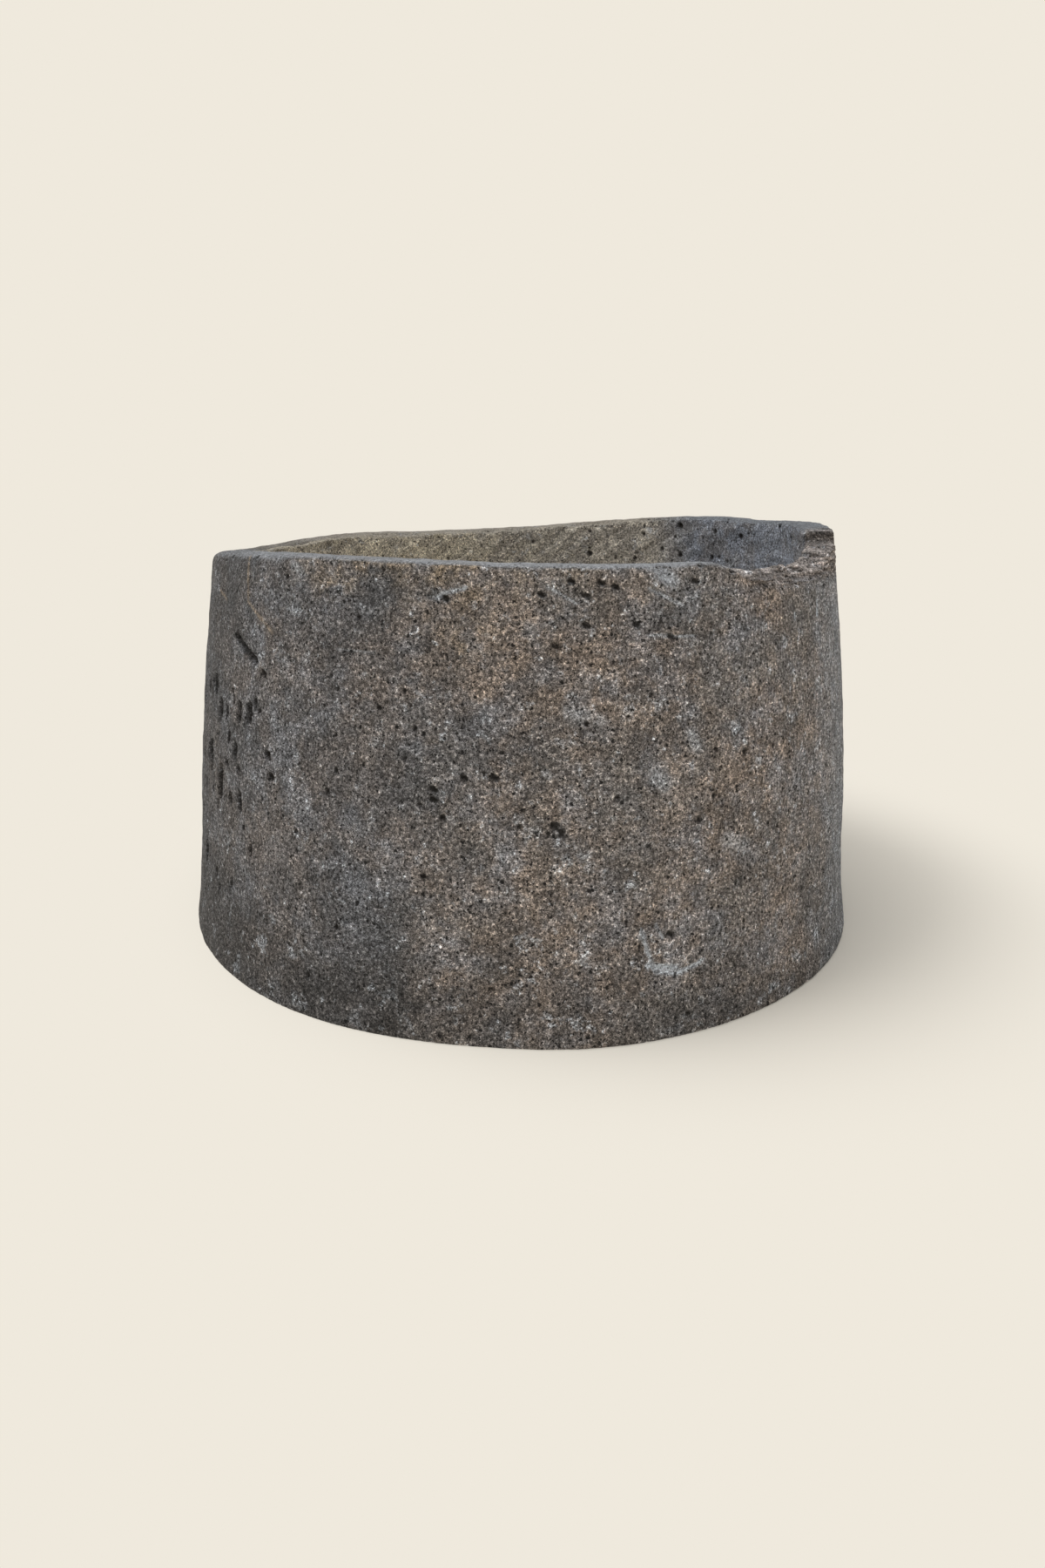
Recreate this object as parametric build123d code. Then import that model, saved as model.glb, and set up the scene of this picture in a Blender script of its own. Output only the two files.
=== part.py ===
from build123d import *
from math import cos, radians, sin
import os

# Limestone planter, carved by hand from one block. Millimetres, +Z up.
# The near side of the planter is -Y and its right side is +X.
# A bearing is an angle in degrees from the near side round towards the right.
# The origin is the middle of the foot, and the drain hole is drilled through it.

# Outer wall: heights, and how far each is set in from the foot
foot_radius = 302.5
waist_height = 110.0
waist_set_in = 2.6
shoulder_height = 200.0
shoulder_set_in = 4.0
brow_height = 268.0
brow_set_in = 7.4
near_rim_height = 326.0
rim_set_in = 9.9
left_lean = 1.5
oval_rise = 1.4
oval_bearing = 45.0
foot_square_rise = 2.0
foot_wear = 3.5

# Hollow: wall thicknesses at the rim, then its depth and form
wall_left = 40.0
wall_right = 34.0
wall_near = 33.0
floor_thickness = 58.0
hollow_draft = 14.0
hollow_corner = 40.0

# Drain hole
drain_radius = 12.5

# Rim all round: bearing, then the rise of its outer and inner edges over the near rim
rim_line = [
    (118, 23.0, 20.5),
    (145, 21.0, 18.5),
    (163, 13.5, 11.0),
    (182, 5.0, 2.5),
    (210, -0.5, -3.0),
    (232, -3.0, -4.0),
    (254, -11.0, -10.0),
    (274, -10.0, -9.5),
    (300, -2.0, -2.0),
    (335, 2.0, 1.5),
    (360, 0.0, 0.0),
    (385, 0.5, 0.0),
    (410, 5.0, 4.0),
    (432, 16.0, 13.5),
    (452, 23.5, 21.0),
]

# Broken stretch of the rim, which ends in a step at its right: same columns
break_line = [
    (26, 2.0, 2.0),
    (31, -3.0, -2.0),
    (39, -10.5, -5.5),
    (47, -10.0, -4.0),
    (55, -10.5, -4.5),
    (61, -6.0, -0.5),
    (69, 5.5, 5.5),
    (76, 5.5, 5.0),
]

# Beds that split off outside the broken stretch: bearing, width, inset and drop
bed_ledges = [
    (43.0, 96.0, 20.0, 10.5),
    (47.0, 62.0, 10.0, 15.0),
]

# Shallow flat spall on the left of the near side, open at the rim
spall_bearing = 304.0
spall_depth = 3.6

# Notch knocked out of the outer edge of the rim
notch_bearing = 19.5
notch_radius = 17.0
notch_depth = 6.0

# Room that the cutting shapes take past the stone, and points on each outline
clear_of_stone = 25.0
outline_points = 12


def at_bearing(bearing, radius, height):
    turn = radians(bearing)
    return Vector(radius * sin(turn), -radius * cos(turn), height)


def on_wall(bearing, set_in, height):
    """Point of the outer wall, which leans left and turns from slightly square to oval as it rises."""
    up = min(height / shoulder_height, 1)
    oval = up * oval_rise * cos(radians(2 * (bearing - oval_bearing)))
    square = (1 - up) * foot_square_rise * cos(radians(4 * (bearing - oval_bearing)))
    lean = Vector(-left_lean * height / near_rim_height, 0, 0)
    return at_bearing(bearing, foot_radius - set_in + oval + square, height) + lean


def rim_radius():
    return foot_radius - rim_set_in


def hollow_radius():
    return rim_radius() - (wall_left + wall_right) / 2


def hollow_middle():
    """Middle of the hollow in plan, nearer to the thinner walls."""
    across = (wall_left - wall_right) / 2 - left_lean
    along = hollow_radius() + wall_near - rim_radius()
    return Vector(across, along, 0)


def block_top():
    """Height of the block before its rim is cut."""
    return near_rim_height + max(outer for _, outer, _ in rim_line) + clear_of_stone


def block_outline(height, set_in):
    step = 360 / outline_points
    points = [on_wall(step * i, set_in, height) for i in range(outline_points)]
    return Face(Wire(Spline(*points, periodic=True)))


def outer_block():
    """Block with its worn foot edge, taller than any point of the rim."""
    outlines = [
        block_outline(0, 0),
        block_outline(waist_height, waist_set_in),
        block_outline(shoulder_height, shoulder_set_in),
        block_outline(brow_height, brow_set_in),
        block_outline(near_rim_height, rim_set_in),
        block_outline(block_top(), rim_set_in + (rim_set_in - brow_set_in) / 2),
    ]
    block = loft(outlines)
    foot_edge = block.edges().group_by(Axis.Z)[0]
    return fillet(foot_edge, foot_wear)


def hollow():
    """Hollow with the round corner left where its leaning wall meets the floor."""
    top = block_top() + clear_of_stone
    lean = hollow_draft / (near_rim_height - floor_thickness)
    top_radius = hollow_radius() + lean * (top - near_rim_height)
    floor_radius = hollow_radius() - hollow_draft
    half = Polyline(
        (0, floor_thickness),
        (floor_radius, floor_thickness),
        (top_radius, top),
        (0, top),
        close=True,
    )
    profile = make_face(half)
    corner = profile.vertices().sort_by_distance((floor_radius, floor_thickness, 0))[0]
    profile = fillet(corner, hollow_corner)
    space = revolve(Plane.XZ * profile, Axis.Z)
    return Pos(hollow_middle()) * space


def rim_height(radius, outer, inner):
    """Height at one radius on the line through the two edges of the rim."""
    share = (radius - hollow_radius()) / (rim_radius() - hollow_radius())
    return near_rim_height + inner + (outer - inner) * share


def above_rim(line, closed):
    """Everything over one line of the rim."""
    far = foot_radius + clear_of_stone
    core = hollow_radius() - hollow_draft - clear_of_stone
    outside = [at_bearing(b, far, rim_height(far, o, i)) for b, o, i in line]
    inside = [at_bearing(b, core, rim_height(core, o, i)) for b, o, i in line]
    surface = Face.make_surface_from_curves(
        Spline(*outside, periodic=closed),
        Spline(*inside, periodic=closed),
    )
    return extrude(surface, amount=block_top(), dir=(0, 0, 1))


def above_ledge(bearing, width, inset, drop):
    """Space over one bed that split off square to its bearing."""
    depth = inset + clear_of_stone
    height = block_top()
    edge = on_wall(bearing, rim_set_in + inset, near_rim_height - drop)
    block = Box(width, depth, height, align=(Align.CENTER, Align.MAX, Align.MIN))
    return Pos(edge) * Rot(0, 0, bearing) * block


def spall():
    """Space over the spall, which is deepest at the rim and runs out at the brow."""
    low = on_wall(spall_bearing, brow_set_in, brow_height)
    high = on_wall(spall_bearing, rim_set_in + spall_depth, near_rim_height)
    along = at_bearing(spall_bearing + 90, 1, 0)
    face = Plane(origin=low, x_dir=along, z_dir=along.cross(high - low))
    return extrude(face * Rectangle(foot_radius, foot_radius), amount=clear_of_stone)


def notch():
    middle = on_wall(notch_bearing, rim_set_in + notch_depth - notch_radius, near_rim_height)
    return Pos(middle) * Sphere(notch_radius)


def drain_hole():
    return Cylinder(drain_radius, 3 * floor_thickness)


def stone_vessel():
    """The whole planter: one block with everything that was carved or broken off it."""
    taken_off = [
        hollow(),
        above_rim(rim_line, True),
        above_rim(break_line, False),
        *[above_ledge(*bed) for bed in bed_ledges],
        spall(),
        notch(),
        drain_hole(),
    ]
    vessel = outer_block()
    for space in taken_off:
        vessel -= space
    return vessel


os.makedirs("parts", exist_ok=True)
planter = stone_vessel()
export_step(planter, "parts/stone_vessel.step")
size = planter.bounding_box().size
print(f"stone_vessel {size.X:.1f} x {size.Y:.1f} x {size.Z:.1f} mm, {planter.volume / 1e6:.2f} litres")
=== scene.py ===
# %% [markdown]
# # A limestone planter
# The planter is one block of limestone, hollowed out and dressed by hand, then left outdoors for years.
# It stands flat on the floor. This notebook takes the carved solid, which has the true size and the main
# forms, and gives it what weather and tools left on it: a wavy hewn wall, pits, cracks, pores and stains.
#
# All lengths are in metres. The near side of the planter is -Y, its right side is +X, and a bearing is an
# angle in degrees from the near side round towards the right.

# %% Load the carved block
from math import cos, pi, radians, sin

import bmesh
import bpy
import numpy as np
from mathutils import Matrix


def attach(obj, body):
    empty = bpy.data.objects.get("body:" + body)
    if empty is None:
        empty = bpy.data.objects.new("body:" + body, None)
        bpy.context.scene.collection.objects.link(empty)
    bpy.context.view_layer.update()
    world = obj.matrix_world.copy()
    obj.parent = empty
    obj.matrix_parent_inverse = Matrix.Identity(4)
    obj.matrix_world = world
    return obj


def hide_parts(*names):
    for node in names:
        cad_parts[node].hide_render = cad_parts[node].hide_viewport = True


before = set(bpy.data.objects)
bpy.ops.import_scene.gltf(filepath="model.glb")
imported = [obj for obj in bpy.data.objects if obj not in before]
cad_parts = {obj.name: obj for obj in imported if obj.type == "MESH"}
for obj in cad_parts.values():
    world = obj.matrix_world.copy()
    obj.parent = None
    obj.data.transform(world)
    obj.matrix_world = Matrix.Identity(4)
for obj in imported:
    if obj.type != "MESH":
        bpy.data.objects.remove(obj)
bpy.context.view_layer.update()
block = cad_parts["stone_vessel"]

# %% [markdown]
# ## Camera
# The photograph was taken from a little above the rim, with the camera held level, because the walls show
# no keystone. The ellipses of the foot and the rim give its distance and its height. A level camera that
# has its horizon above the middle of the picture needs a shift rather than a tilt.

# %% Set the camera where the photograph was taken
MM = 0.001
EYE_BACK = 0.9357
EYE_HEIGHT = 0.3742
IMAGE_WIDTH = 1200
IMAGE_HEIGHT = 1800
FOCAL_PIXELS = 1095.7
AXIS_COLUMN = 604.0
HORIZON_ROW = 563.6
ROLL = -0.0113

camera_data = bpy.data.cameras.new("camera")
camera_data.sensor_fit = "VERTICAL"
camera_data.sensor_height = 36.0
camera_data.lens = FOCAL_PIXELS / IMAGE_HEIGHT * camera_data.sensor_height
camera_data.shift_x = (IMAGE_WIDTH / 2 - AXIS_COLUMN) / IMAGE_HEIGHT
camera_data.shift_y = (HORIZON_ROW - IMAGE_HEIGHT / 2) / IMAGE_HEIGHT
camera = bpy.data.objects.new("camera", camera_data)
camera.location = (0, -EYE_BACK, EYE_HEIGHT)
camera.rotation_euler = (pi / 2, ROLL, 0)
bpy.context.scene.collection.objects.link(camera)
bpy.context.scene.camera = camera
print("lens", round(camera_data.lens, 2), "mm")

# %% [markdown]
# ## Light and floor
# The picture has a plain cream ground and very soft light. A lamp like a wide overcast sky high at the left
# throws the soft shadow that lies right of the planter, a weaker one at the right opens the dark side, one
# almost overhead behind it darkens the floor along the foot, and the even world light fills the rest. The
# lamps are suns with a broad disc, because a sun lights the whole floor evenly, and their levels and the fill
# add up to one. The floor is cream too, and away from the planter it turns into the world's own colour.

# %% A helper that adds a node and fills its sockets
def add(tree, kind, inputs=None, **settings):
    """Adds a node. Inputs are values, or sockets that are linked, by name or by place."""
    node = tree.nodes.new(kind)
    for name, value in settings.items():
        setattr(node, name, value)
    for name, value in (inputs or {}).items():
        if isinstance(value, bpy.types.NodeSocket):
            tree.links.new(value, node.inputs[name])
        else:
            node.inputs[name].default_value = value
    return node


def calc(tree, operation, *values, clamp=False):
    """A sum on values and sockets."""
    node = add(tree, "ShaderNodeMath", dict(enumerate(values)), operation=operation, use_clamp=clamp)
    return node.outputs[0]


# %% World and lamps
GROUND = (0.863, 0.815, 0.723, 1)
FILL = 0.38
KEY = {"bearing": -90, "height": 52, "disc": 44, "level": 0.33}
SIDE = {"bearing": 35, "height": 50, "disc": 80, "level": 0.16}
BACK = {"bearing": -155, "height": 79, "disc": 28, "level": 0.13}

world = bpy.data.worlds.new("studio")
bpy.context.scene.world = world
world.use_nodes = True
sky = world.node_tree
sky.nodes.clear()
rays = add(sky, "ShaderNodeLightPath")
seen = calc(sky, "MAXIMUM", rays.outputs["Is Camera Ray"], rays.outputs["Is Transmission Ray"])
seen = calc(sky, "MAXIMUM", seen, rays.outputs["Is Glossy Ray"])
fill = add(sky, "ShaderNodeBackground", {"Color": (1, 1, 1, 1), "Strength": FILL})
ground = add(sky, "ShaderNodeBackground", {"Color": GROUND, "Strength": 1.0})
both = add(sky, "ShaderNodeMixShader", {0: seen, 1: fill.outputs[0], 2: ground.outputs[0]})
add(sky, "ShaderNodeOutputWorld", {"Surface": both.outputs[0]})


def sun(name, bearing, height, disc, level):
    """A wide sun at a bearing and a height in degrees, which adds its level to a white floor."""
    data = bpy.data.lights.new(name, "SUN")
    data.angle = radians(disc)
    data.energy = level * pi / sin(radians(height))
    lamp = bpy.data.objects.new(name, data)
    lamp.rotation_euler = (radians(90 - height), 0, radians(bearing))
    bpy.context.scene.collection.objects.link(lamp)


for name, lamp in (("key", KEY), ("side", SIDE), ("back", BACK)):
    sun(name, **lamp)
print("floor level", FILL + KEY["level"] + SIDE["level"] + BACK["level"])

# %% Floor
FLOOR_HALF = 6.0
SHADOW_MIDDLE = (0.11, 0.04, 0.0)
PLAIN_FROM = 0.22
PLAIN_TO = 0.47

floor_mesh = bpy.data.meshes.new("floor")
corners = [(-FLOOR_HALF, -FLOOR_HALF, 0), (FLOOR_HALF, -FLOOR_HALF, 0)]
corners += [(FLOOR_HALF, FLOOR_HALF, 0), (-FLOOR_HALF, FLOOR_HALF, 0)]
floor_mesh.from_pydata(corners, [], [(0, 1, 2, 3)])
floor = bpy.data.objects.new("floor", floor_mesh)
bpy.context.scene.collection.objects.link(floor)
paint = bpy.data.materials.new("cream floor")
paint.use_nodes = True
tree = paint.node_tree
tree.nodes.clear()
where = add(tree, "ShaderNodeTexCoord").outputs["Object"]
apart = add(tree, "ShaderNodeVectorMath", {0: where, 1: SHADOW_MIDDLE}, operation="DISTANCE")
far = add(tree, "ShaderNodeMapRange", {
    "Value": apart.outputs["Value"], "From Min": PLAIN_FROM, "From Max": PLAIN_TO,
}, interpolation_type="SMOOTHSTEP")
lit = add(tree, "ShaderNodeBsdfDiffuse", {"Color": GROUND})
plain = add(tree, "ShaderNodeEmission", {"Color": GROUND, "Strength": 1.0})
faded = add(tree, "ShaderNodeMixShader", {0: far.outputs[0], 1: lit.outputs[0], 2: plain.outputs[0]})
add(tree, "ShaderNodeOutputMaterial", {"Surface": faded.outputs[0]})
floor_mesh.materials.append(paint)
bpy.context.scene.view_settings.view_transform = "Standard"

# %% [markdown]
# ## The stone
# The carved solid has few, large faces. Weather needs a fine, even skin to work on, so a copy of the solid
# is merged and remeshed into small squares. Geometry Nodes then move its points, and a last step joins
# the flat places into larger triangles, which leaves the fine ones round the pits and the broken rim.

# %% An even skin over the block
SKIN_STEP = 1.7 * MM
WELD = 0.001 * MM

stone_mesh = block.data.copy()
stone_mesh.name = "planter_stone"
shape = bmesh.new()
shape.from_mesh(stone_mesh)
bmesh.ops.remove_doubles(shape, verts=shape.verts, dist=WELD)
shape.to_mesh(stone_mesh)
shape.free()
stone_mesh.materials.clear()
stone = bpy.data.objects.new("planter_stone", stone_mesh)
bpy.context.scene.collection.objects.link(stone)
skin = stone.modifiers.new("even skin", "REMESH")
skin.mode = "VOXEL"
skin.voxel_size = SKIN_STEP


def settle(piece):
    """Turns what the modifiers make into the piece's own plain mesh."""
    depsgraph = bpy.context.evaluated_depsgraph_get()
    made = bpy.data.meshes.new_from_object(piece.evaluated_get(depsgraph))
    piece.modifiers.clear()
    piece.data = made
    return len(made.vertices)


print("skin points", settle(stone))

# %% [markdown]
# ## Geometry trees
# What weather and tools do to stone repeats over the whole surface, so it is made by Geometry Nodes. Three
# trees share the same few helpers. Each tree has named inputs for its sizes and ends with Realize Instances
# and Set Material. The trees move points inwards only, so they never take the stone past its block.

# %% Helpers for the geometry trees
def geometry_tree(name, inputs):
    """A tree with a geometry going in and out, and one named input for each size."""
    tree = bpy.data.node_groups.new(name, "GeometryNodeTree")
    tree.interface.new_socket("Geometry", in_out="INPUT", socket_type="NodeSocketGeometry")
    for label, kind in inputs.items():
        tree.interface.new_socket(label, in_out="INPUT", socket_type="NodeSocket" + kind)
    tree.interface.new_socket("Geometry", in_out="OUTPUT", socket_type="NodeSocketGeometry")
    return tree, tree.nodes.new("NodeGroupInput").outputs


def finish_tree(tree, geometry, material):
    """Ends a tree with real geometry that has its material."""
    solid = add(tree, "GeometryNodeRealizeInstances", {"Geometry": geometry})
    finished = add(tree, "GeometryNodeSetMaterial", {"Geometry": solid.outputs[0], "Material": material})
    tree.links.new(finished.outputs[0], tree.nodes.new("NodeGroupOutput").inputs[0])


def vector(tree, operation, *values, out=0):
    """A sum on vectors."""
    node = add(tree, "ShaderNodeVectorMath", dict(enumerate(values)), operation=operation)
    return node.outputs[out]


def scaled(tree, arrow, length):
    return add(tree, "ShaderNodeVectorMath", {0: arrow, "Scale": length}, operation="SCALE").outputs[0]


def bearing_of(tree, parts):
    """Bearing of a place in radians, from its X and Y."""
    return calc(tree, "ARCTAN2", parts["X"], calc(tree, "MULTIPLY", parts["Y"], -1.0))


def noise(tree, where, scale, detail, roughness=0.5):
    inputs = {"Vector": where, "Scale": scale, "Detail": detail, "Roughness": roughness}
    return add(tree, "ShaderNodeTexNoise", inputs).outputs[0]


def ramp(tree, value, low, high, to_low=0.0, to_high=1.0):
    """Carries a value smoothly from one range to another."""
    inputs = {"Value": value, "From Min": low, "From Max": high, "To Min": to_low, "To Max": to_high}
    return add(tree, "ShaderNodeMapRange", inputs, interpolation_type="SMOOTHSTEP").outputs[0]


SOLE = 0.5 * MM
FREE_FROM = 5.0 * MM


def push_in(tree, geometry, depth):
    """Moves the points inwards by a depth. The sole is held flat on the floor."""
    normal = add(tree, "GeometryNodeInputNormal").outputs[0]
    inwards = scaled(tree, normal, calc(tree, "MULTIPLY", depth, -1.0))
    place = add(tree, "GeometryNodeInputPosition").outputs[0]
    height = add(tree, "ShaderNodeSeparateXYZ", {"Vector": place}).outputs["Z"]
    free = ramp(tree, height, SOLE, FREE_FROM)
    held = add(tree, "ShaderNodeCombineXYZ", {"X": 1.0, "Y": 1.0, "Z": free}).outputs[0]
    inwards = vector(tree, "MULTIPLY", inwards, held)
    return add(tree, "GeometryNodeSetPosition", {"Geometry": geometry, "Offset": inwards}).outputs[0]


def run_tree(piece, tree, values):
    """Puts a tree on a piece, sets its inputs by their identifiers, and settles the result."""
    modifier = piece.modifiers.new(tree.name, "NODES")
    modifier.node_group = tree
    for item in tree.interface.items_tree:
        if item.in_out == "INPUT" and item.name in values:
            modifier[item.identifier] = values[item.name]
    return settle(piece)


limestone = bpy.data.materials.new("limestone")

# %% [markdown]
# ## Worn arrises
# Every edge of the rim has lost its sharpness. Averaging each point with its neighbours a few times rounds
# an edge over a few millimetres and leaves flat stone alone, so one tree does all the edges at once. It
# works only near the rim, because the foot stays crisp and flat on the floor. The rim at the near left is
# worn round, and the rest of it is hardly worn.

# %% Tree that wears the arrises
WEAR_RISE = 15 * MM
WORN_ACROSS = (-0.16, -0.25)
WORN_NEAR = (0.02, -0.06)
LEAST_WEAR = 0.06

wear, given = geometry_tree("wear", {"Steps": "Int", "From Height": "Float", "Stone": "Material"})
place = add(wear, "GeometryNodeInputPosition").outputs[0]
parts = add(wear, "ShaderNodeSeparateXYZ", {"Vector": place}).outputs
share = ramp(wear, parts["Z"], given["From Height"], calc(wear, "ADD", given["From Height"], WEAR_RISE))
near_left = calc(wear, "MULTIPLY", ramp(wear, parts["X"], *WORN_ACROSS), ramp(wear, parts["Y"], *WORN_NEAR))
share = calc(wear, "MULTIPLY", share, calc(wear, "MULTIPLY_ADD", near_left, 1 - LEAST_WEAR, LEAST_WEAR))
averaged = add(wear, "GeometryNodeBlurAttribute", data_type="FLOAT_VECTOR")
value_socket = next(s for s in averaged.inputs if s.name == "Value" and s.type == "VECTOR")
wear.links.new(place, value_socket)
wear.links.new(given["Steps"], averaged.inputs["Iterations"])
wear.links.new(share, averaged.inputs["Weight"])
worn = next(s for s in averaged.outputs if s.type == "VECTOR" and s.enabled)
moved = add(wear, "GeometryNodeSetPosition", {"Geometry": given["Geometry"], "Position": worn})
finish_tree(wear, moved.outputs[0], given["Stone"])

# %% Wear them
WEAR_WIDTH = 15.0 * MM
steps = round((WEAR_WIDTH / SKIN_STEP) ** 2)
print("worn points", run_tree(stone, wear, {"Steps": steps, "From Height": 0.292, "Stone": limestone}))

# %% [markdown]
# ## Hewn and weathered surface
# The mason's point and the rain left four kinds of relief: long shallow waves from dressing the wall, chisel
# furrows that climb the inside of the hollow, a rough crust, and the thin beds that show where the rim
# broke. Each is a noise, stretched along the way its tool or its bed ran.

# %% Tree that weathers the skin
FURROW_SLANT = radians(38)
FURROW_STRETCH = (0.16, 0.35, 1.0)
BED_FLATNESS = (0.22, 0.22, 1.0)
BROKEN_ACROSS = (0.14, 0.18)
BROKEN_NEAR = (-0.06, -0.10)
BED_RISE = 14 * MM

weather, given = geometry_tree("weather", {
    "Wave Depth": "Float", "Wave Scale": "Float", "Furrow Depth": "Float", "Furrow Scale": "Float",
    "Crust Depth": "Float", "Crust Scale": "Float", "Bed Depth": "Float", "Bed Scale": "Float",
    "Bed Height": "Float", "Hollow Radius": "Float", "Stone": "Material",
})
place = add(weather, "GeometryNodeInputPosition").outputs[0]
parts = add(weather, "ShaderNodeSeparateXYZ", {"Vector": place}).outputs
waves = noise(weather, place, given["Wave Scale"], 2.0)
depth = calc(weather, "MULTIPLY", waves, given["Wave Depth"])

slanted = add(weather, "ShaderNodeVectorRotate", {"Vector": place, "Angle": FURROW_SLANT},
              rotation_type="Y_AXIS")
drawn_out = vector(weather, "MULTIPLY", slanted.outputs[0], FURROW_STRETCH)
furrows = ramp(weather, noise(weather, drawn_out, given["Furrow Scale"], 2.0), 0.35, 0.66)
sideways = vector(weather, "MULTIPLY", place, (1.0, 1.0, 0.0))
out_from_axis = vector(weather, "LENGTH", sideways, out=1)
inside = calc(weather, "LESS_THAN", out_from_axis, given["Hollow Radius"])
furrows = calc(weather, "MULTIPLY", furrows, inside)
depth = calc(weather, "MULTIPLY_ADD", furrows, given["Furrow Depth"], depth)

crust = noise(weather, place, given["Crust Scale"], 2.0, 0.5)
depth = calc(weather, "MULTIPLY_ADD", crust, given["Crust Depth"], depth)

flattened = vector(weather, "MULTIPLY", place, BED_FLATNESS)
beds = ramp(weather, noise(weather, flattened, given["Bed Scale"], 2.0, 0.6), 0.40, 0.60)
broken = calc(weather, "MULTIPLY",
              ramp(weather, parts["X"], *BROKEN_ACROSS), ramp(weather, parts["Y"], *BROKEN_NEAR))
beds_high = calc(weather, "ADD", given["Bed Height"], BED_RISE)
broken = calc(weather, "MULTIPLY", broken, ramp(weather, parts["Z"], given["Bed Height"], beds_high))
depth = calc(weather, "MULTIPLY_ADD", calc(weather, "MULTIPLY", beds, broken), given["Bed Depth"], depth)
finish_tree(weather, push_in(weather, given["Geometry"], depth), given["Stone"])

# %% Weather the skin
HOLLOW_EDGE = 0.264
print("weathered points", run_tree(stone, weather, {
    "Wave Depth": 2.4 * MM, "Wave Scale": 11.0,
    "Furrow Depth": 2.6 * MM, "Furrow Scale": 75.0,
    "Crust Depth": 1.8 * MM, "Crust Scale": 62.0,
    "Bed Depth": 4.0 * MM, "Bed Scale": 230.0, "Bed Height": 0.298,
    "Hollow Radius": HOLLOW_EDGE, "Stone": limestone,
}))

# %% [markdown]
# ## Pits
# Limestone is full of shells and soft spots that fall out and leave pits. A tree scatters points over the
# skin, and each point of the skin looks up the nearest of them: within its radius the stone sinks. The pits
# are stretched upright where water ran down the wall. The tree also writes how deep each place lies into an
# attribute named cut, which the finish reads later to darken the pits with dirt and painted shade.

# %% Tree that sinks the pits
RAGGED_SCALE = 330.0
RAGGED_LEAST = 0.55
RAGGED_SPAN = 0.9
PIT_EDGE = 1.15
PIT_FLOOR = 0.35

pitting, given = geometry_tree("pits", {
    "Density": "Float", "Seed": "Int", "Small": "Float", "Large": "Float", "Tall": "Float", "Share": "Float",
    "Bearing": "Float", "Half Width": "Float", "Low": "Float", "High": "Float", "Stone": "Material",
})
place = add(pitting, "GeometryNodeInputPosition").outputs[0]
parts = add(pitting, "ShaderNodeSeparateXYZ", {"Vector": place}).outputs
apart = calc(pitting, "ABSOLUTE", calc(pitting, "SUBTRACT", bearing_of(pitting, parts), given["Bearing"]))
there = calc(pitting, "LESS_THAN", apart, given["Half Width"])
there = calc(pitting, "MULTIPLY", there, calc(pitting, "GREATER_THAN", parts["Z"], given["Low"]))
there = calc(pitting, "MULTIPLY", there, calc(pitting, "LESS_THAN", parts["Z"], given["High"]))
centres = add(pitting, "GeometryNodeDistributePointsOnFaces", {
    "Mesh": given["Geometry"], "Selection": there, "Density": given["Density"], "Seed": given["Seed"],
}).outputs["Points"]
nearest = add(pitting, "GeometryNodeSampleNearest", {"Geometry": centres, "Sample Position": place},
              domain="POINT").outputs[0]


def of_nearest(data_type, value):
    """Value that the nearest pit has."""
    node = add(pitting, "GeometryNodeSampleIndex", data_type=data_type, domain="POINT")
    pitting.links.new(centres, node.inputs["Geometry"])
    pitting.links.new(value, next(s for s in node.inputs if s.name == "Value" and s.enabled))
    pitting.links.new(nearest, node.inputs["Index"])
    return next(s for s in node.outputs if s.enabled)


middle = of_nearest("FLOAT_VECTOR", place)
chance = add(pitting, "FunctionNodeRandomValue", {"Seed": given["Seed"]}, data_type="FLOAT")
chance = next(s for s in chance.outputs if s.type == "VALUE" and s.enabled)
size = calc(pitting, "POWER", of_nearest("FLOAT", chance), 2.0)
span = calc(pitting, "SUBTRACT", given["Large"], given["Small"])
radius = calc(pitting, "MULTIPLY_ADD", size, span, given["Small"])
upright = calc(pitting, "DIVIDE", 1.0, given["Tall"])
squash = add(pitting, "ShaderNodeCombineXYZ", {"X": 1.0, "Y": 1.0, "Z": upright}).outputs[0]
away = vector(pitting, "MULTIPLY", vector(pitting, "SUBTRACT", place, middle), squash)
away = vector(pitting, "LENGTH", away, out=1)
uneven = calc(pitting, "MULTIPLY_ADD", noise(pitting, place, RAGGED_SCALE, 2.0), RAGGED_SPAN, RAGGED_LEAST)
reach = calc(pitting, "DIVIDE", away, calc(pitting, "MULTIPLY", radius, uneven))
sunk = ramp(pitting, reach, PIT_EDGE, PIT_FLOOR)
depth = calc(pitting, "MULTIPLY", sunk, calc(pitting, "MULTIPLY", radius, given["Share"]))
before = add(pitting, "GeometryNodeInputNamedAttribute", {"Name": "cut"}, data_type="FLOAT").outputs[0]
deepest = calc(pitting, "MAXIMUM", before, sunk)
kept = add(pitting, "GeometryNodeStoreNamedAttribute", {"Name": "cut", "Geometry": given["Geometry"]},
           data_type="FLOAT", domain="POINT")
pitting.links.new(deepest, next(s for s in kept.inputs if s.name == "Value" and s.enabled))
finish_tree(pitting, push_in(pitting, kept.outputs[0], depth), given["Stone"])

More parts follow.
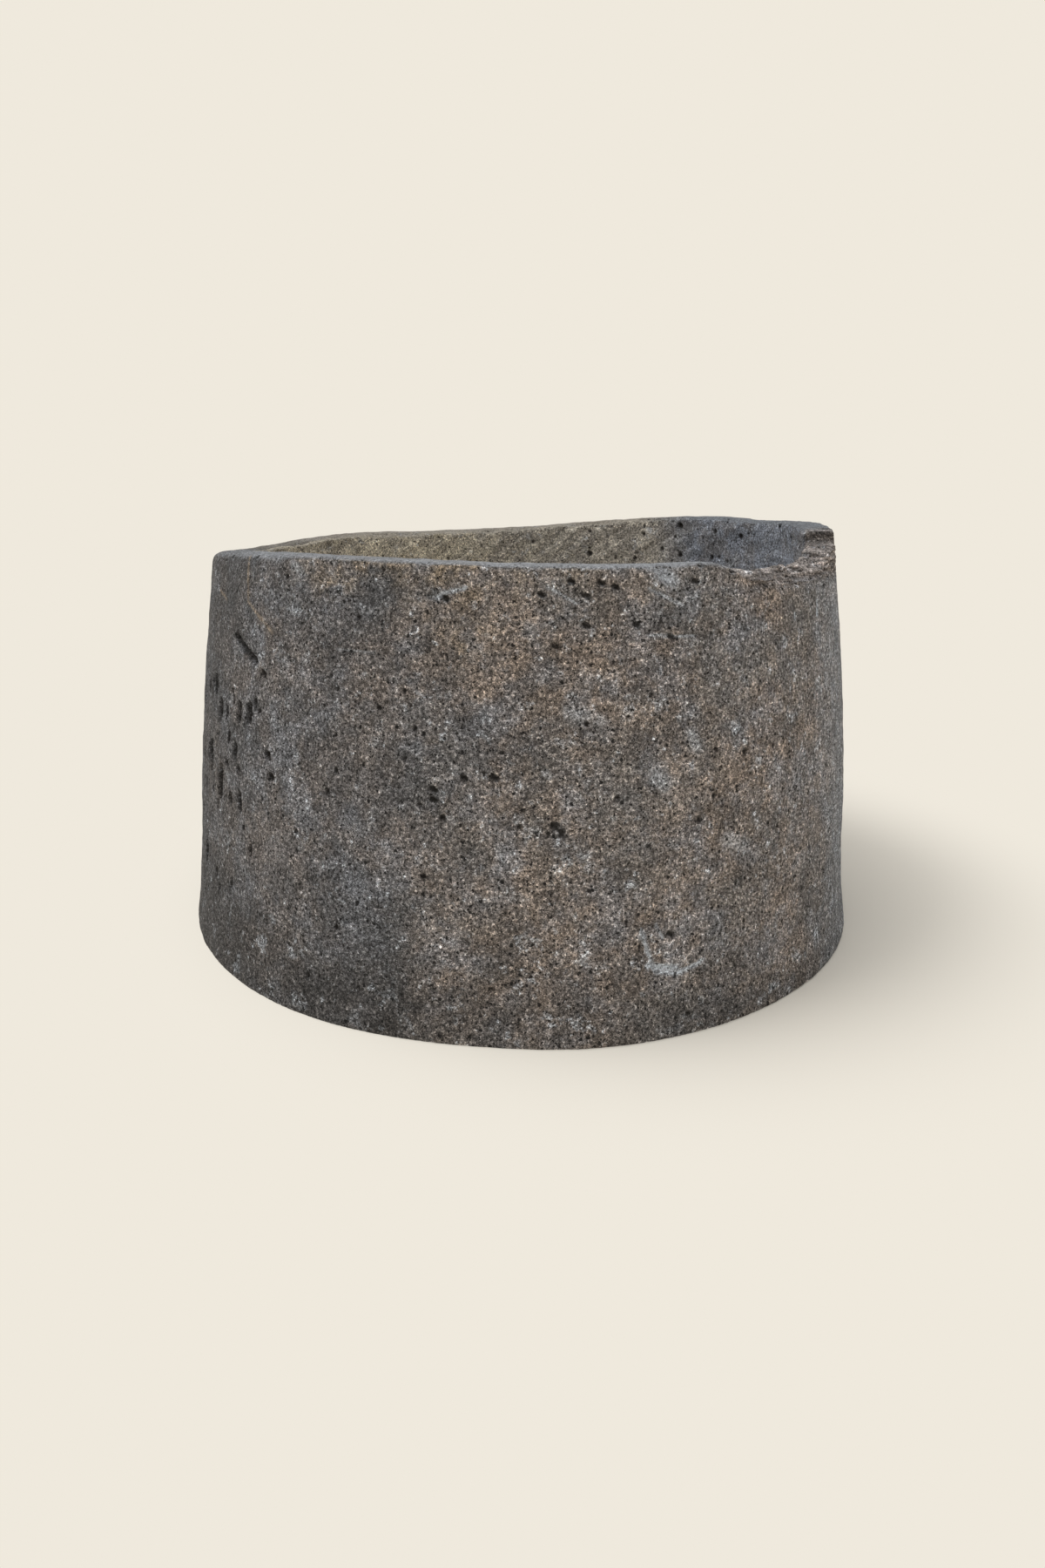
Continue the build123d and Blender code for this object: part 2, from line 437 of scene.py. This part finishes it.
# %% Sink them: everywhere, at the left, near the middle, at the step, in the hollow and along the break
EVERYWHERE = {"Bearing": 0.0, "Half Width": pi, "Low": 0.012, "High": 1.0, "Tall": 1.0}
PITS = [
    {"Density": 560.0, "Seed": 3, "Small": 1.1 * MM, "Large": 2.6 * MM, "Share": 1.2, **EVERYWHERE},
    {"Density": 1300.0, "Seed": 8, "Small": 2.0 * MM, "Large": 5.2 * MM, "Share": 1.3, "Tall": 2.3,
     "Bearing": radians(-56), "Half Width": radians(15), "Low": 0.05, "High": 0.225},
    {"Density": 2600.0, "Seed": 5, "Small": 1.4 * MM, "Large": 3.0 * MM, "Share": 0.8, "Tall": 1.2,
     "Bearing": radians(2.5), "Half Width": radians(3.4), "Low": 0.100, "High": 0.152},
    {"Density": 1900.0, "Seed": 12, "Small": 1.6 * MM, "Large": 3.4 * MM, "Share": 1.0, "Tall": 0.8,
     "Bearing": radians(74), "Half Width": radians(9), "Low": 0.325, "High": 0.352},
    {"Density": 1500.0, "Seed": 31, "Small": 1.6 * MM, "Large": 4.2 * MM, "Share": 0.9, "Tall": 1.1,
     "Bearing": radians(140), "Half Width": radians(32), "Low": 0.270, "High": 0.343},
    {"Density": 1500.0, "Seed": 21, "Small": 1.5 * MM, "Large": 3.4 * MM, "Share": 0.9, "Tall": 0.8,
     "Bearing": radians(45), "Half Width": radians(20), "Low": 0.300, "High": 0.334},
]
for kind in PITS:
    points = run_tree(stone, pitting, {**kind, "Stone": limestone})
print("pitted points", points)

# %% [markdown]
# ## Marks that can be told apart
# Some marks are seen one by one in the photograph: a crack and upright slots at the left, holes under the
# rim, long scratches, and the pale crust low on the right that looks like a bent hook. Each is made of
# strokes between places on the wall. Points near a stroke sink, or rise where its depth is below nought, and
# a second attribute named lime says how pale the stroke has become, or how ochre if it is below nought.

# %% Marks, which run through places given as a bearing in degrees and a height in mm
def mark(through, half_width, depth, lime=0.0):
    """Strokes between the places that a mark runs through. Lime below nought is ochre."""
    return [(*a, *b, half_width, depth, lime) for a, b in zip(through, through[1:])]


def holes(places, half_width, depth):
    """Short strokes, a little wider than tall."""
    return [stroke for b, h in places for stroke in mark([(b, h), (b + 0.5, h - 1)], half_width, depth)]


def slots(tops, length, half_width=3.8, depth=6.0):
    """Upright slots, by the places of their upper ends."""
    return [stroke for b, h in tops for stroke in mark([(b, h), (b, h - length)], half_width, depth)]


CRACK = mark([(-50, 258), (-47, 250), (-44, 243)], 3.0, 5.5)
SHORT_SLOTS = slots([(-48, 206), (-45, 208)], 9)
LONG_SLOTS = slots([(-59, 166), (-54, 151)], 20)
LEFT_HOLES = holes([(-42, 235), (-40, 177), (-52, 158), (-48, 158), (-39, 162)], 2.8, 4.0)
RIM_HOLES = holes([(6, 314), (10, 313), (12, 310), (8, 304), (2, 305), (24, 313)], 2.0, 3.0)
UPPER_HOLES = holes([(15, 284), (8, 284), (4, 270), (20, 275), (-11, 301)], 2.0, 3.0)
MIDDLE_HOLES = holes([(-8, 181), (-12, 172), (-12, 165), (-4, 182), (4, 151), (20, 71)], 2.1, 2.7)
SCRATCHES = [
    *mark([(3, 310), (7, 298)], 1.2, 0.7, 0.7),
    *mark([(17, 308), (22, 296)], 1.3, 0.7, 0.6),
    *mark([(17, 276), (24, 274)], 1.2, 0.8, 0.7),
    *mark([(-27, 261), (-21, 261)], 1.0, 0.7, 0.3),
]
CHIP = mark([(-8, 308), (-11, 304), (-12, 300)], 2.1, 0.8, 0.9)
HOOK = mark([(16, 76), (17, 60), (18, 47), (21, 43), (24, 46), (25, 48)], 2.0, 1.1, 0.9)
HOOK += mark([(17, 51), (21, 47)], 2.6, 1.4, 1.0)
HOOK += mark([(18, 79), (19, 69)], 1.2, 0.7, 0.7)
DRIPS = mark([(53, 289), (53, 278)], 2.2, 0.8, 1.0) + mark([(45, 283), (45, 279)], 2.0, 0.6, 0.8)
OCHRE_RIDGE = mark([(-48, 322), (-47, 287), (-40, 267)], 1.8, -0.7, -0.6)
OCHRE_RIDGE += mark([(-60, 290), (-56, 284)], 1.4, -0.3, -0.6)
BLOOMS = [
    *mark([(18, 326), (21, 313)], 6.5, 0.8, 0.5),
    *mark([(-36, 318), (-34, 312)], 5.0, 0.4, 0.5),
    *mark([(6, 226), (10, 220)], 6.5, 0.4, 0.35),
    *mark([(18, 180), (19, 175)], 7.5, 0.5, 0.4),
    *mark([(23, 206), (24, 198)], 6.5, 0.4, 0.35),
    *mark([(29, 129), (32, 124)], 7.0, 0.4, 0.4),
]
STROKES = [
    *CRACK, *SHORT_SLOTS, *LONG_SLOTS, *LEFT_HOLES, *RIM_HOLES, *UPPER_HOLES, *MIDDLE_HOLES,
    *SCRATCHES, *CHIP, *HOOK, *DRIPS, *OCHRE_RIDGE, *BLOOMS,
]


# %% Cut the strokes into the skin
WALL_RADIUS = 298.0
WALL_FROM = HOLLOW_EDGE + 15 * MM
STEEP = 0.75
STROKE_REACH = 1.25
RIPPLE = 0.3
STEP_BEARING = 76.0
STEP_WIDTH = 7.0
STEP_LOW = 332.0
STEP_FACING = 0.45
# How strongly the broken step's end face is painted in shade.
STEP_SHADE = 0.35


def read_points(mesh, what="co"):
    """Places or normals of a mesh, one row for each point."""
    values = np.empty(len(mesh.vertices) * 3)
    mesh.vertices.foreach_get(what, values)
    return values.reshape(-1, 3)


def attribute(mesh, name):
    """The numbers of a named attribute, and the attribute itself."""
    layer = mesh.attributes.get(name) or mesh.attributes.new(name, "FLOAT", "POINT")
    values = np.empty(len(mesh.vertices))
    layer.data.foreach_get("value", values)
    return values, layer


stone_mesh = stone.data
points = read_points(stone_mesh)
normals = read_points(stone_mesh, "normal")
cut, cut_layer = attribute(stone_mesh, "cut")
lime, lime_layer = attribute(stone_mesh, "lime")
out_from_axis = np.hypot(points[:, 0], points[:, 1])
around = np.degrees(np.arctan2(points[:, 0], -points[:, 1]))
on_wall = (out_from_axis > WALL_FROM) & (normals[:, 2] < STEEP)
wall_place = np.stack([np.radians(around) * WALL_RADIUS, points[:, 2] / MM], axis=1)
wander = 2.0 * np.sin(wall_place[:, 1] * 1.3)
ripple = np.sin(wall_place[:, 0] * 1.9 + wander) * np.sin(wall_place[:, 1] * 2.3)
sink = np.zeros(len(points))
for start_bearing, start_height, end_bearing, end_height, half_width, depth, pale in STROKES:
    start = np.array([radians(start_bearing) * WALL_RADIUS, start_height])
    along = np.array([radians(end_bearing) * WALL_RADIUS, end_height]) - start
    share = np.clip((wall_place - start) @ along / (along @ along), 0, 1)
    apart = np.linalg.norm(wall_place - start - share[:, None] * along, axis=1)
    reach = np.clip(STROKE_REACH - apart / (half_width * (1 + RIPPLE * ripple)), 0, 1) * on_wall
    profile = reach * reach * (3 - 2 * reach)
    sink = np.where(profile * abs(depth) * MM > np.abs(sink), profile * depth * MM, sink)
    lime = np.where(profile * abs(pale) > np.abs(lime), profile * pale, lime)
    # Strokes without lime are marked in cut, so the finish darkens them with dirt and painted shade.
    if pale == 0:
        cut = np.maximum(cut, profile)

# The broken step's end face is marked in cut too, so the finish paints it in shade.
along_wall = np.array([cos(radians(STEP_BEARING)), sin(radians(STEP_BEARING)), 0])
at_step = (np.abs(around - STEP_BEARING) < STEP_WIDTH) & (wall_place[:, 1] > STEP_LOW)
cut = np.maximum(cut, STEP_SHADE * (at_step & (normals @ along_wall < -STEP_FACING)))
points -= normals * sink[:, None]
stone_mesh.vertices.foreach_set("co", points.ravel())
cut_layer.data.foreach_set("value", cut)
lime_layer.data.foreach_set("value", lime)
stone_mesh.update()
print("strokes", len(STROKES), "deepest", round(float(sink.max() / MM), 2), "mm")

# %% [markdown]
# ## Join the flat places
# Large flat places need few triangles, and the pits and the broken rim need many, so the last step on the
# shape joins triangles where that changes it least.

# %% Thin the skin
FACE_GOAL = 190_000
WALL_LIKE = 0.35
TOP_LIKE = 0.80

thin = stone.modifiers.new("thin", "DECIMATE")
triangles = sum(len(face.vertices) - 2 for face in stone.data.polygons)
thin.ratio = min(1.0, FACE_GOAL / triangles)
thin.use_collapse_triangulate = True
settle(stone)
stone.data.shade_smooth()
# How much each point faces up, which the finish uses to paint light on the rim's top.
rise = read_points(stone.data, "normal")[:, 2]
_, upward_layer = attribute(stone.data, "upward")
upward_layer.data.foreach_set("value", np.clip((rise - WALL_LIKE) / (TOP_LIKE - WALL_LIKE), 0, 1))
print("triangles", len(stone.data.polygons), "from", triangles)
print("attributes", [layer.name for layer in stone.data.attributes if layer.data_type == "FLOAT"])

# %% [markdown]
# ## The finish of the limestone
# Weathered limestone isn't one colour. Fine grains of pale shell and dark grit give it a pepper-and-salt
# look, larger patches turn brown, grey or blue-grey, water leaves pale lime, and dirt stays in the pores.
# Some colours are painted light: shade at the left and far left of the wall, light at the right, rim light
# at the far right, light on the rim's top, sunlit sand and blue shade in the hollow, and shade with the dirt
# in the pits, cracks and on the broken step.
# Two node groups make these effects once: one makes the grain at a chosen size, and the other thins a value
# down to ragged patches. The material then stacks them, from the broad colours down to the pores. What is
# fine is added up in stops, as a photographer counts light: each stop doubles or halves the brightness.

# %% Colours as they are seen in the photograph, from 0 to 255
def tint(red, green, blue):
    """Linear colour of an sRGB one."""
    shares = [value / 255 for value in (red, green, blue)]
    linear = [v / 12.92 if v <= 0.04045 else ((v + 0.055) / 1.055) ** 2.4 for v in shares]
    return (*linear, 1)


BROWN = tint(120, 108, 98)
WARM_GREY = tint(106, 101, 97)
SLATE = tint(90, 91, 94)
FILM = tint(116, 120, 127)
# Dark tone of the stone for patches, seams and the foot, and painted shade on the far left of the wall.
DARK_TONE_AND_SHADE = tint(62, 60, 59)
OCHRE = tint(134, 118, 97)
STAIN = tint(160, 142, 120)
LIME = tint(158, 163, 169)
# Dirt, and painted shade in the pits, cracks and slots and on the broken step.
DIRT_AND_SHADE = tint(48, 44, 40)
# Painted light: blue-grey for the far right of the wall and for the side of the rim's top.
BLUE_PAINTED_LIGHT = tint(108, 112, 117)
# Painted light on the rim's top: pale at the near side, warm at the far side.
PALE_LIT_TOP = tint(142, 145, 149)
WARM_LIT_FAR_TOP = tint(136, 130, 119)
# Painted light in the hollow: sunlit sand at the left, blue shade at the upper right.
INNER_SUNLIT_SAND = tint(184, 174, 154)
INNER_GREY = tint(160, 153, 141)
INNER_BLUE_SHADE = tint(112, 116, 124)


# %% Group that makes grain
def shader_group(name, inputs, outputs):
    """A node group, with what it is given and what it puts out. Inputs hold a kind and a usual value."""
    tree = bpy.data.node_groups.new(name, "ShaderNodeTree")
    for label, (kind, value) in inputs.items():
        socket = tree.interface.new_socket(label, in_out="INPUT", socket_type="NodeSocket" + kind)
        socket.default_value = value
    for label in outputs:
        tree.interface.new_socket(label, in_out="OUTPUT", socket_type="NodeSocketFloat")
    return tree, tree.nodes.new("NodeGroupInput").outputs, tree.nodes.new("NodeGroupOutput").inputs


def spots(tree, where, scale, radius, kept):
    """Round spots of a radius, in a share of the cells of a pattern."""
    cells = add(tree, "ShaderNodeTexVoronoi", {"Vector": where, "Scale": scale, "Randomness": 1.0})
    near = ramp(tree, cells.outputs["Distance"], radius, calc(tree, "MULTIPLY", radius, 0.7))
    chance = add(tree, "ShaderNodeSeparateXYZ", {"Vector": cells.outputs["Color"]}).outputs[0]
    return calc(tree, "MULTIPLY", near, calc(tree, "LESS_THAN", chance, kept))


GRIT_SHARE = 0.55
BEND = 3.2 * MM
BEND_SCALE = 520.0
SMALL_PORES = {"scale": 430.0, "radius": 0.34}
LARGE_PORES = {"scale": 150.0, "radius": 0.21}
LARGE_SHARE = 0.75
SPECKS = {"scale": 340.0, "radius": 0.40}

grain, given, out = shader_group("stone grain", {
    "Vector": ("Vector", (0, 0, 0)), "Fine": ("Float", 1150.0), "Coarse": ("Float", 430.0),
    "Pores": ("Float", 0.45), "Specks": ("Float", 0.1),
}, ("Grain", "Pore", "Speck"))
grit = noise(grain, given["Vector"], given["Fine"], 3.0, 0.75)
lumps = noise(grain, given["Vector"], given["Coarse"], 3.0, 0.65)
mixed = calc(grain, "MULTIPLY_ADD", grit, GRIT_SHARE, calc(grain, "MULTIPLY", lumps, 1 - GRIT_SHARE))
bend = add(grain, "ShaderNodeTexNoise", {"Vector": given["Vector"], "Scale": BEND_SCALE}).outputs["Color"]
crooked = vector(grain, "ADD", given["Vector"], scaled(grain, bend, BEND))
small = spots(grain, crooked, **SMALL_PORES, kept=given["Pores"])
large = spots(grain, crooked, **LARGE_PORES, kept=calc(grain, "MULTIPLY", given["Pores"], LARGE_SHARE))
grain.links.new(mixed, out["Grain"])
grain.links.new(calc(grain, "MAXIMUM", small, large), out["Pore"])
grain.links.new(spots(grain, crooked, **SPECKS, kept=given["Specks"]), out["Speck"])

# %% Group that makes ragged patches
NO_COVER = 0.68
FULL_COVER = 0.32

patches, given, out = shader_group("ragged patches", {
    "Vector": ("Vector", (0, 0, 0)), "Scale": ("Float", 10.0),
    "Cover": ("Float", 0.5), "Edge": ("Float", 0.08),
}, ("Mask",))
broad = noise(patches, given["Vector"], given["Scale"], 5.0, 0.62)
level = calc(patches, "MULTIPLY_ADD", given["Cover"], FULL_COVER - NO_COVER, NO_COVER)
edge_low = calc(patches, "SUBTRACT", level, given["Edge"])
edge_high = calc(patches, "ADD", level, given["Edge"])
patches.links.new(ramp(patches, broad, edge_low, edge_high), out["Mask"])

# %% Where each place is on the stone
WOBBLE = 0.16

limestone.use_nodes = True
finish = limestone.node_tree
finish.nodes.clear()
where = add(finish, "ShaderNodeTexCoord").outputs["Object"]
parts = add(finish, "ShaderNodeSeparateXYZ", {"Vector": where}).outputs
height = parts["Z"]
bearing = bearing_of(finish, parts)
from_axis = vector(finish, "LENGTH", vector(finish, "MULTIPLY", where, (1.0, 1.0, 0.0)), out=1)
wobble = calc(finish, "MULTIPLY_ADD", noise(finish, where, 14.0, 4.0, 0.6), WOBBLE, -WOBBLE / 2)
inner = ramp(finish, from_axis, HOLLOW_EDGE + 1 * MM, HOLLOW_EDGE - 3 * MM)
upward = add(finish, "ShaderNodeAttribute", attribute_name="upward").outputs["Fac"]
cut = add(finish, "ShaderNodeAttribute", attribute_name="cut").outputs["Fac"]
lime = add(finish, "ShaderNodeAttribute", attribute_name="lime").outputs["Fac"]


# %% Helpers for the finish
def blend(share, under, over, blend_type="MIX"):
    """Lays one colour over another by a share."""
    node = add(finish, "ShaderNodeMix", data_type="RGBA", blend_type=blend_type)
    for socket, value in (("Factor_Float", share), ("A_Color", under), ("B_Color", over)):
        target = next(s for s in node.inputs if s.identifier == socket)
        if isinstance(value, bpy.types.NodeSocket):
            finish.links.new(value, target)
        else:
            target.default_value = value
    return next(s for s in node.outputs if s.identifier == "Result_Color")


def product(first, *others):
    """Masks and shares multiplied together."""
    for other in others:
        first = calc(finish, "MULTIPLY", first, other)
    return first


def coat(under, colour, *masks):
    """Lays a colour over another where every mask lets it."""
    return blend(product(*masks), under, colour)


def fade(value, low, high, to_low=0.0, to_high=1.0):
    return ramp(finish, value, low, high, to_low, to_high)


def window(value, low, high, soft):
    """One between low and high, and nought outside them."""
    return product(fade(value, low - soft, low + soft), fade(value, high + soft, high - soft))


def ragged(scale, cover, edge=0.08):
    """Mask of ragged patches: how many a metre, what share they cover and how soft their edges are."""
    node = add(finish, "ShaderNodeGroup", node_tree=patches)
    finish.links.new(where, node.inputs["Vector"])
    for name, value in (("Scale", scale), ("Cover", cover), ("Edge", edge)):
        node.inputs[name].default_value = value
    return node.outputs["Mask"]


# %% Zones of the outer wall, in radians and metres: from, to, and how soft
# Sides of the wall, which carry painted shade at the left and painted light at the right.
RIGHT_FROM_LEFT = (radians(-32), radians(4))
BACK_FROM_LEFT = (radians(-95), radians(-150))
SHADED_FAR_LEFT = (radians(-120), radians(-50), radians(12))
RIM_LIT_FAR_RIGHT = (radians(53), radians(130), radians(9))
OCHRE_SIDE = (radians(-30), radians(6), 0.12)
UNDER_RIM = (0.28, 0.33)
DARK_FOOT = (0.10, 0.0)
BREAK_ACROSS = (0.12, 0.17)
BREAK_NEAR = (-0.03, -0.07)
BREAK_HEIGHT = (0.300, 0.314)

turned = calc(finish, "ADD", bearing, product(wobble, 2.0))
risen = calc(finish, "ADD", height, wobble)
right_side = calc(finish, "MAXIMUM", fade(turned, *RIGHT_FROM_LEFT), fade(turned, *BACK_FROM_LEFT))
at_break = product(fade(parts["X"], *BREAK_ACROSS), fade(parts["Y"], *BREAK_NEAR))
layered = product(at_break, fade(height, *BREAK_HEIGHT))

# Partly the stone's own tone and partly painted light: the left of the wall is slate in painted shade, the
# right a warmer, browner grey in painted light, and the back follows the right.
outside = blend(right_side, SLATE, WARM_GREY)
outside = coat(outside, BROWN, ragged(13.0, 0.62, 0.14), fade(right_side, 0.0, 1.0, 0.45, 0.9))
outside = coat(outside, SLATE, ragged(48.0, 0.45), 0.40)
outside = coat(outside, FILM, ragged(27.0, 0.36, 0.10), 0.45)
# Darker towards the foot, more at the left than at the right.
outside = coat(outside, DARK_TONE_AND_SHADE, fade(risen, *DARK_FOOT), fade(right_side, 0.0, 1.0, 0.85, 0.5))
outside = coat(outside, DARK_TONE_AND_SHADE, ragged(23.0, 0.30), 0.4)
# Painted shade on the far left of the wall.
outside = coat(outside, DARK_TONE_AND_SHADE, window(turned, *SHADED_FAR_LEFT), 0.6)
# Painted rim light: the far right of the wall turns blue-grey.
outside = coat(outside, BLUE_PAINTED_LIGHT, window(turned, *RIM_LIT_FAR_RIGHT), 0.6)
outside = coat(outside, BROWN, layered, 0.75)
crumbled = fade(noise(finish, where, 60.0, 4.0, 0.6), 0.35, 0.6)
outside = coat(outside, OCHRE, window(turned, *OCHRE_SIDE), fade(risen, *UNDER_RIM), crumbled, 0.7)

# %% Zones of the hollow and of the rim's top
SUNLIT_TO_GREY = (-0.12, 0.05)
BLUE_SHADE_ACROSS = (0.150, 0.196)
BLUE_SHADE_HEIGHT = (0.14, 0.27)
SEAM_STRETCH = (0.25, 0.5, 1.0)
SEAM = (0.54, 0.56, 0.02)
TOP_HEIGHT = (0.27, 0.29)
TOP_LEFT_END = (-0.27, -0.18)
NEAR_TO_SIDE = (-0.20, 0.0)
FAR_HALF = (-0.02, 0.06)
FAR_TOP_END = (0.20, 0.14)

across = calc(finish, "ADD", parts["X"], product(wobble, 0.25))
# Partly the stone's own tone and partly painted light: warm sand in painted sunlight at the left of the
# hollow turns grey, and the upper right wall is painted in blue shade.
inside = blend(fade(across, *SUNLIT_TO_GREY), INNER_SUNLIT_SAND, INNER_GREY)
inside = coat(inside, INNER_BLUE_SHADE, fade(across, *BLUE_SHADE_ACROSS), fade(height, *BLUE_SHADE_HEIGHT))
inside = coat(inside, WARM_GREY, ragged(38.0, 0.45), 0.5)
slanted = add(finish, "ShaderNodeVectorRotate", {"Vector": where, "Angle": FURROW_SLANT},
              rotation_type="Y_AXIS")
seams = noise(finish, vector(finish, "MULTIPLY", slanted.outputs[0], SEAM_STRETCH), 70.0, 3.0, 0.6)
inside = coat(inside, DARK_TONE_AND_SHADE, window(seams, *SEAM), 0.7)
base = blend(inner, outside, inside)

# Painted light: the rim's upward faces are painted paler, blue-grey at the near side and warm at the far
# side, where light falls on them.
whole_top = product(upward, fade(height, *TOP_HEIGHT), calc(finish, "MULTIPLY_ADD", at_break, -0.75, 1.0))
whole_top = product(whole_top, fade(across, *TOP_LEFT_END, 0.55, 1.0))
top_light_colour = blend(fade(parts["Y"], *NEAR_TO_SIDE), PALE_LIT_TOP, BLUE_PAINTED_LIGHT)
top_light_colour = coat(top_light_colour, WARM_LIT_FAR_TOP, fade(parts["Y"], *FAR_HALF), fade(across, *FAR_TOP_END))
base = coat(base, top_light_colour, whole_top, 0.85)
print("broad colours made of", len(finish.nodes), "nodes")

# %% Grain, pores and scratches, in stops
GRAIN_STOPS = 18.0
PATCH_STOPS = 2.4
PORE_STOPS = -3.4
SPECK_STOPS = 1.0
CUT_SHADE_STOPS = -3.2
# Painted shade at the left of the wall and painted light at the right, in stops.
LEFT_SHADE_STOPS = -0.06
RIGHT_LIGHT_STOPS = 0.23
BED_STOPS = 6.0
BED_STRETCH = (0.2, 0.2, 1.0)
SCRATCH_STOPS = 0.8
SCRATCH_SLANT = radians(1.5)
SCRATCH_STRETCH = 0.10
LIME_STOPS = 0.35


def lighten(stops, mask, amount):
    return calc(finish, "MULTIPLY_ADD", mask, amount, stops)


def off_middle(value, middle=0.5):
    return calc(finish, "SUBTRACT", value, middle)


bits = add(finish, "ShaderNodeGroup", node_tree=grain)
finish.links.new(where, bits.inputs["Vector"])
bits = bits.outputs
patch_noise = noise(finish, where, 70.0, 4.0, 0.62)
stops = product(off_middle(bits["Grain"]), GRAIN_STOPS)
stops = lighten(stops, off_middle(patch_noise), PATCH_STOPS)
stops = lighten(stops, bits["Pore"], PORE_STOPS)
stops = lighten(stops, bits["Speck"], SPECK_STOPS)
# Painted shade with dirt: the cut places darker, in stops.
stops = lighten(stops, cut, CUT_SHADE_STOPS)
# Painted light: the left of the wall a little darker, the right brighter.
stops = calc(finish, "ADD", stops, fade(right_side, 0.0, 1.0, LEFT_SHADE_STOPS, RIGHT_LIGHT_STOPS))

beds = noise(finish, vector(finish, "MULTIPLY", where, BED_STRETCH), 260.0, 2.0, 0.6)
stops = lighten(stops, product(off_middle(beds, 0.52), layered), BED_STOPS)

arc = product(bearing, WALL_RADIUS * MM)
unrolled = add(finish, "ShaderNodeCombineXYZ", {"X": product(arc, SCRATCH_STRETCH), "Y": height}).outputs[0]
tilted = add(finish, "ShaderNodeVectorRotate", {"Vector": unrolled, "Angle": SCRATCH_SLANT},
             rotation_type="Z_AXIS").outputs[0]
scratches = fade(noise(finish, tilted, 520.0, 2.0, 0.5), 0.59, 0.66)
scratches = product(scratches, fade(noise(finish, where, 26.0, 3.0), 0.46, 0.62))
scratches = product(scratches, calc(finish, "SUBTRACT", 1.0, inner))
stops = lighten(stops, scratches, SCRATCH_STOPS)

# %% Smoother stone on the rim's top, in the hollow and under the marks
clean_top = product(whole_top, calc(finish, "SUBTRACT", 1.0, cut, clamp=True))
smooth_stone = calc(finish, "MAXIMUM", clean_top, product(inner, 0.4))
stops = product(stops, calc(finish, "MULTIPLY_ADD", smooth_stone, -0.6, 1.0))
stops = product(stops, calc(finish, "MULTIPLY_ADD", calc(finish, "ABSOLUTE", lime), -0.55, 1.0))

# %% Lime, stains, and dirt with painted shade over the colours
crumbs = fade(bits["Grain"], 0.42, 0.54)
bloom = product(ragged(62.0, 0.16, 0.05), fade(noise(finish, where, 12.0, 2.0), 0.42, 0.62, 0.15, 0.5))
bloom = calc(finish, "MAXIMUM", bloom, product(ragged(140.0, 0.10, 0.04), 0.5))
bloom = product(bloom, calc(finish, "MULTIPLY_ADD", crumbs, 0.75, 0.25))
limed = calc(finish, "MAXIMUM", lime, 0.0)
stops = lighten(stops, limed, LIME_STOPS)
marked = product(limed, calc(finish, "MULTIPLY_ADD", crumbs, 0.3, 0.7))
colour = blend(calc(finish, "MAXIMUM", marked, bloom, clamp=True), base, LIME)
colour = blend(calc(finish, "MULTIPLY", lime, -0.8, clamp=True), colour, STAIN)
brightness = calc(finish, "POWER", 2.0, stops)
grey = add(finish, "ShaderNodeCombineColor", {0: brightness, 1: brightness, 2: brightness}).outputs[0]
colour = blend(1.0, colour, grey, "MULTIPLY")
# Dirt and painted shade laid into the cut places.
colour = blend(calc(finish, "MULTIPLY", cut, 0.6, clamp=True), colour, DIRT_AND_SHADE)

# %% Relief too fine for the mesh, and the surface
RELIEF_DEPTH = 1.6 * MM
RELIEF_STRENGTH = 0.8
MATT = 0.96
LESS_MATT = 0.80
SHEEN = 0.3

relief = calc(finish, "MULTIPLY_ADD", patch_noise, 1.2, bits["Grain"])
relief = lighten(relief, bits["Pore"], -0.9)
relief = lighten(relief, scratches, -0.15)
bump = add(finish, "ShaderNodeBump", {
    "Strength": RELIEF_STRENGTH, "Distance": RELIEF_DEPTH, "Height": relief,
})
surface = add(finish, "ShaderNodeBsdfPrincipled", {
    "Base Color": colour, "Roughness": fade(bits["Grain"], 0.3, 0.7, MATT, LESS_MATT),
    "Normal": bump.outputs[0], "Specular IOR Level": SHEEN,
})
add(finish, "ShaderNodeOutputMaterial", {"Surface": surface.outputs[0]})
print("finish made of", len(finish.nodes), "nodes")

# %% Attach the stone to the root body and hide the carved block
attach(stone, "root")
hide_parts("stone_vessel")
